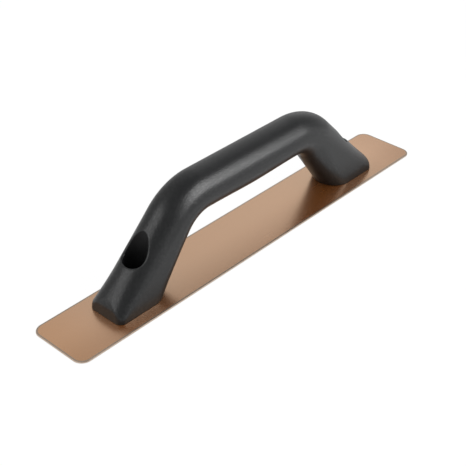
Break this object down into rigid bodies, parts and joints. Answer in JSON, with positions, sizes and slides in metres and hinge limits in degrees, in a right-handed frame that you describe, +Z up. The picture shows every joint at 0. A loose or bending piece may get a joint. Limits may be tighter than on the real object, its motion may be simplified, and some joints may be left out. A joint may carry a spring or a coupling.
{
  "type": "drywall rasp",
  "caption": "Long narrow carbide-grit rasp plate, copper coloured, with a black moulded D-handle whose legs have wrench wells over the stud nuts.",
  "frame": {"origin": "middle of the tool, on the working face of the carbide grit", "axes": "+X along the plate and the grip, +Y across the plate, +Z up from the working face towards the grip"},
  "size_m": [0.406, 0.0572, 0.0878],
  "materials": {
    "black_plastic": "fine moulded grain, satin",
    "copper_steel": "satin copper braze film",
    "carbide_grit": "coarse grit in copper braze",
    "zinc_steel": "bright zinc plate",
    "nylon": "natural nylon"
  },
  "bodies": {
    "root": {"handle": "black_plastic", "rasp_plate": "copper_steel", "grit_face": "carbide_grit", "left_stud": "zinc_steel", "left_washer": "zinc_steel", "left_nut": "zinc_steel", "left_nut_ring": "nylon", "right_stud": "zinc_steel", "right_washer": "zinc_steel", "right_nut": "zinc_steel", "right_nut_ring": "nylon"}
  },
  "joints": []
}
